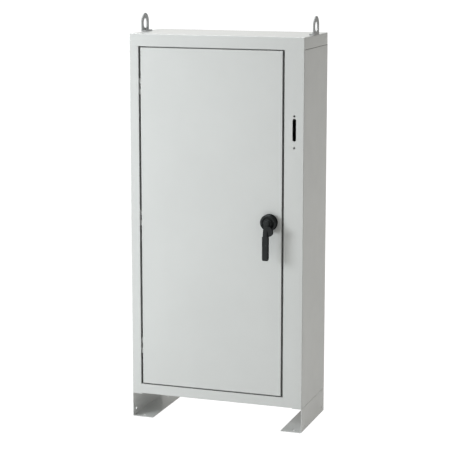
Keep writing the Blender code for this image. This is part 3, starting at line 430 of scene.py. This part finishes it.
# outline of the padlock lug: (distance to the right of the spindle, height from it)
LUG = (
    (-0.0040, -0.0120), (0.0120, -0.0110), (0.0205, -0.0118), (0.0265, -0.0150), (0.0315, -0.0210),
    (0.0352, -0.0280), (0.0372, -0.0350), (0.0374, -0.0405), (0.0358, -0.0465), (0.0318, -0.0525),
    (0.0262, -0.0565), (0.0200, -0.0588), (0.0130, -0.0595), (-0.0040, -0.0590),
)
LUG_FACES = (0.0695, 0.0585)   # distances of its two faces in front of the door
LUG_SMOOTH = 30.0
LUG_ROUNDING = (0.0022, 3, 30.0)   # width, segments and angle of its rounded edges


def before(distance):
    """Y of a place in front of the door."""
    return FRONT - distance


def add_turned(bm, section):
    """Adds a shape turned about the spindle."""
    lathe(bm, [(r, before(d)) for r, d in section], (SPINDLE[0], SPINDLE[2]), 1, ROUND)


def build_escutcheon():
    bm = bmesh.new()
    add_turned(bm, ESCUTCHEON)
    add_mesh("escutcheon", bm, "black_plastic", "door", ["handle_base"])


def smoothed(stations, steps):
    """Catmull-Rom curve through rows of numbers."""
    rows = []
    last = len(stations) - 1
    for i in range(last):
        p0, p1 = stations[max(i - 1, 0)], stations[i]
        p2, p3 = stations[i + 1], stations[min(i + 2, last)]
        for k in range(steps):
            t = k / steps
            row = []
            for a, b, c, d in zip(p0, p1, p2, p3):
                row.append(0.5 * (2 * b + (c - a) * t + (2 * a - 5 * b + 4 * c - d) * t * t
                                  + (3 * b - a - 3 * c + d) * t ** 3))
            rows.append(row)
    rows.append(list(stations[-1]))
    return rows


def lever_rings(bm):
    rows = smoothed(LEVER, LEVER_STEPS)
    rings = []
    for i, (out, up, width, thick, power) in enumerate(rows):
        ahead, behind = rows[min(i + 1, len(rows) - 1)], rows[max(i - 1, 0)]
        slope = Vector((0.0, behind[0] - ahead[0], ahead[1] - behind[1])).normalized()
        across = Vector((0.0, -slope.z, slope.y))
        if i < LEVEL_SECTIONS:
            across = Vector((0.0, 1.0, 0.0))
        centre = Vector((SPINDLE[0], before(out), SPINDLE[2] + up))
        points = []
        for k in range(LEVER_SIDES):
            angle = 2 * math.pi * k / LEVER_SIDES
            c, d = math.cos(angle), math.sin(angle)
            wide = math.copysign(abs(c) ** power, c) * width / 2
            deep = math.copysign(abs(d) ** power, d) * thick / 2
            points.append(centre + Vector((wide, 0.0, 0.0)) + across * deep)
        rings.append(ring_of(bm, points))
    return rings


def build_lever():
    bm = bmesh.new()
    rings = lever_rings(bm)
    for upper, lower in zip(rings, rings[1:]):
        bridge(bm, upper, lower)
    bm.faces.new(rings[0])
    bm.faces.new(rings[-1])
    add_turned(bm, HUB)
    add_mesh("lever", bm, "black_plastic", "handle", ["handle_lever"], LEVER_SMOOTH)
    bm = bmesh.new()
    outline = [(SPINDLE[0] + right, SPINDLE[2] + up) for right, up in LUG]
    plate(bm, outline, 1, before(LUG_FACES[0]), before(LUG_FACES[1]))
    lug = add_mesh("lever_lug", bm, "black_plastic", "handle", (), LUG_SMOOTH)
    add_bevel(lug, *LUG_ROUNDING)


# ---------------------------------------------------------------- front face joints, filled and ground flush
FILL_PROUD = 0.00004
FILL_DEEP = 0.0015
ROOF_JOINT = (1.7680, 1.7697)      # heights above the body's underside
ROOF_JOINT_SPANS = ((-0.4463, -0.4034), (0.3519, 0.4463))
FLANGE_JOINT = (0.4371, 0.4386)    # left and right side of the joint beside the slotted flange
RAIL_JOINTS = (-0.403, 0.3515)     # the two ends of the rail under the door
RAIL_JOINT_HALF = 0.0009
RAIL_JOINT_HEIGHTS = (0.0036, 0.0490)


def build_flush_joints():
    bm = bmesh.new()

    def fill(left, right, low, high):
        block(bm, (left, FRONT - FILL_PROUD, BODY_LOW + low), (right, FRONT + FILL_DEEP, BODY_LOW + high))

    for left, right in ROOF_JOINT_SPANS:
        fill(left, right, *ROOF_JOINT)
    fill(*FLANGE_JOINT, 0.0, ROOF_JOINT[1])
    for middle in RAIL_JOINTS:
        fill(middle - RAIL_JOINT_HALF, middle + RAIL_JOINT_HALF, *RAIL_JOINT_HEIGHTS)
    add_mesh("front_joints", bm, "painted_steel", "enclosure")


# ---------------------------------------------------------------- dark bead in the seam under the roof pan, painted shade for the shadow line under the pan's lip
SEAM_SHADE = (1.76935, 1.77035)   # heights above the body's underside
SEAM_SHADE_PROUD = 0.00005
SEAM_SHADE_DEEP = 0.0012
SEAM_SHADE_FRONT = 0.004          # where the side beads start, behind the front face
SEAM_SHADE_BACK = 0.0003          # where they end, in front of the back face


def build_seam_shade_bead():
    bm = bmesh.new()
    low, high = BODY_LOW + SEAM_SHADE[0], BODY_LOW + SEAM_SHADE[1]
    back = FRONT + BODY_DEPTH
    inner = BODY_HALF - SEAM_SHADE_DEEP
    for side in (-1, 1):
        left, right = sorted((side * (BODY_HALF + SEAM_SHADE_PROUD), side * inner))
        block(bm, (left, FRONT + SEAM_SHADE_FRONT, low), (right, back - SEAM_SHADE_BACK, high))
    block(bm, (-inner, back - SEAM_SHADE_DEEP, low), (inner, back + SEAM_SHADE_PROUD, high))
    # the bead is painted shade: dark rubber where the seam holds only a shadow line
    add_mesh("seam_painted_shade", bm, "gasket_rubber", "enclosure")


# ---------------------------------------------------------------- stage
def sideways(tree, left, right):
    """A strength that falls from the left of the set to its right, for the sky that the object mirrors."""
    way = tree.nodes.new("ShaderNodeTexCoord")
    parts = tree.nodes.new("ShaderNodeSeparateXYZ")
    fall = tree.nodes.new("ShaderNodeMapRange")
    fall.inputs["From Min"].default_value = -SKY_SHINE_REACH
    fall.inputs["From Max"].default_value = SKY_SHINE_REACH
    fall.inputs["To Min"].default_value = left
    fall.inputs["To Max"].default_value = right
    tree.links.new(way.outputs["Generated"], parts.inputs[0])
    tree.links.new(parts.outputs["X"], fall.inputs["Value"])
    return fall.outputs["Result"]


def white_for_camera(tree, lit, shine_strength):
    """Pure white to the camera, a glow of the given strength to mirror rays, the lit shader to the rest."""
    seen = tree.nodes.new("ShaderNodeEmission")
    seen.inputs["Strength"].default_value = WHITE
    path = tree.nodes.new("ShaderNodeLightPath")
    pick = tree.nodes.new("ShaderNodeMixShader")
    tree.links.new(path.outputs["Is Camera Ray"], pick.inputs[0])
    tree.links.new(lit, pick.inputs[1])
    tree.links.new(seen.outputs[0], pick.inputs[2])
    gloss = tree.nodes.new("ShaderNodeMixShader")
    shine = tree.nodes.new("ShaderNodeEmission")
    shine.inputs["Color"].default_value = (*WORLD_COLOUR, 1.0)
    if isinstance(shine_strength, float):
        shine.inputs["Strength"].default_value = shine_strength
    else:
        tree.links.new(shine_strength, shine.inputs["Strength"])
    tree.links.new(path.outputs["Is Glossy Ray"], gloss.inputs[0])
    tree.links.new(pick.outputs[0], gloss.inputs[1])
    tree.links.new(shine.outputs[0], gloss.inputs[2])
    return gloss.outputs[0]


def make_floor():
    bm = bmesh.new()
    bmesh.ops.create_grid(bm, x_segments=1, y_segments=1, size=FLOOR_SIZE)
    mesh = bpy.data.meshes.new("floor")
    bm.to_mesh(mesh)
    bm.free()
    floor = add_object("floor", mesh)
    floor.location = (0.0, 0.0, -FLOOR_DROP)
    material = bpy.data.materials.new("floor")
    material.use_nodes = True
    tree = material.node_tree
    shader = tree.nodes["Principled BSDF"]
    shader.inputs["Base Color"].default_value = (*FLOOR_COLOUR, 1.0)
    shader.inputs["Roughness"].default_value = FLOOR_ROUGHNESS
    seen = white_for_camera(tree, shader.outputs[0], FLOOR_SHINE)
    tree.links.new(seen, tree.nodes["Material Output"].inputs["Surface"])
    mesh.materials.append(material)


def make_world():
    world = bpy.data.worlds.new("world")
    bpy.context.scene.world = world
    world.use_nodes = True
    tree = world.node_tree
    sky = tree.nodes["Background"]
    sky.inputs["Color"].default_value = (*WORLD_COLOUR, 1.0)
    sky.inputs["Strength"].default_value = WORLD_STRENGTH
    seen = white_for_camera(tree, sky.outputs[0], sideways(tree, SKY_SHINE_LEFT, SKY_SHINE_RIGHT))
    tree.links.new(seen, tree.nodes["World Output"].inputs["Surface"])


def area_light(name, place, target, size, power, colour, mirrored):
    data = bpy.data.lights.new(name, "AREA")
    data.shape = "RECTANGLE"
    data.size, data.size_y = size
    data.energy = power
    data.color = colour
    light = add_object(name, data)
    light.location = place
    light.visible_glossy = mirrored
    aim = Vector(target) - Vector(place)
    light.rotation_euler = aim.to_track_quat("-Z", "Y").to_euler()


def make_camera():
    data = bpy.data.cameras.new("camera")
    data.lens = CAMERA_LENS
    data.sensor_width = SENSOR_WIDTH
    data.shift_y = CAMERA_SHIFT_Y
    data.clip_start = CLIP_START
    data.clip_end = CLIP_END
    cam = add_object("camera", data)
    cam.location = CAMERA_PLACE
    cam.rotation_euler = Euler((math.radians(90 - CAMERA_TILT), 0.0, math.radians(CAMERA_TURN)))
    bpy.context.scene.camera = cam


dress_cad_nodes()
soften_cad_edges()
build_escutcheon()
build_lever()
build_flush_joints()
build_seam_shade_bead()
make_floor()
make_world()
for light in LIGHTS:
    area_light(*light)
make_camera()
bpy.context.scene.view_settings.view_transform = "Standard"
